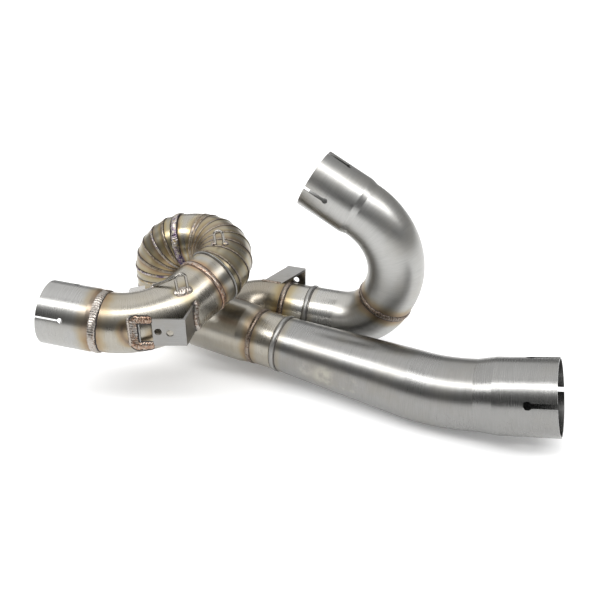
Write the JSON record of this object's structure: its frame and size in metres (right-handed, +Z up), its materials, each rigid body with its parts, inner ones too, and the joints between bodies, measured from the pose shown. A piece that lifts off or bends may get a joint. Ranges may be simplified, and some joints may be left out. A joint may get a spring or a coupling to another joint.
{
  "type": "exhaust link pipe",
  "caption": "Welded steel exhaust link pipe with a wide outlet socket, a collector, a mitred loop to a front socket and a raised rear branch socket.",
  "frame": {"origin": "centre of the outlet socket's mouth", "axes": "+X to the right and along the longest extent, +Y to the back, +Z up"},
  "size_m": [0.4348, 0.2266, 0.204],
  "materials": {
    "brushed_steel": "satin",
    "tinted_steel": "satin, warm heat tint",
    "fitting_steel": "satin sheet and wire"
  },
  "bodies": {
    "root": {"outlet_socket": "brushed_steel", "outlet_bend": "brushed_steel", "outlet_cone": "brushed_steel", "outlet_sleeve": "brushed_steel", "collector_run": "tinted_steel", "collector_branch": "tinted_steel", "branch_stub": "tinted_steel", "rear_sleeve": "brushed_steel", "rear_lower_tube": "brushed_steel", "rear_lower_bend": "brushed_steel", "rear_upper_bend": "brushed_steel", "rear_socket": "brushed_steel", "loop_cut_01": "tinted_steel", "loop_cut_02": "tinted_steel", "loop_cut_03": "tinted_steel", "loop_cut_04": "tinted_steel", "loop_cut_05": "tinted_steel", "loop_cut_06": "tinted_steel", "loop_cut_07": "tinted_steel", "loop_cut_08": "tinted_steel", "loop_cut_09": "tinted_steel", "loop_cut_10": "tinted_steel", "loop_cut_11": "tinted_steel", "loop_cut_12": "tinted_steel", "loop_plain": "tinted_steel", "loop_cut_13": "tinted_steel", "loop_cut_14": "tinted_steel", "loop_cut_15": "tinted_steel", "loop_cut_16": "tinted_steel", "loop_cut_17": "tinted_steel", "loop_cut_18": "tinted_steel", "loop_cut_19": "tinted_steel", "loop_cut_20": "tinted_steel", "loop_sleeve": "brushed_steel", "front_bend": "tinted_steel", "front_socket": "brushed_steel", "front_bracket": "fitting_steel", "back_tab": "fitting_steel", "rear_bracket": "fitting_steel", "front_hook": "fitting_steel", "loop_hook": "fitting_steel"}
  },
  "joints": []
}
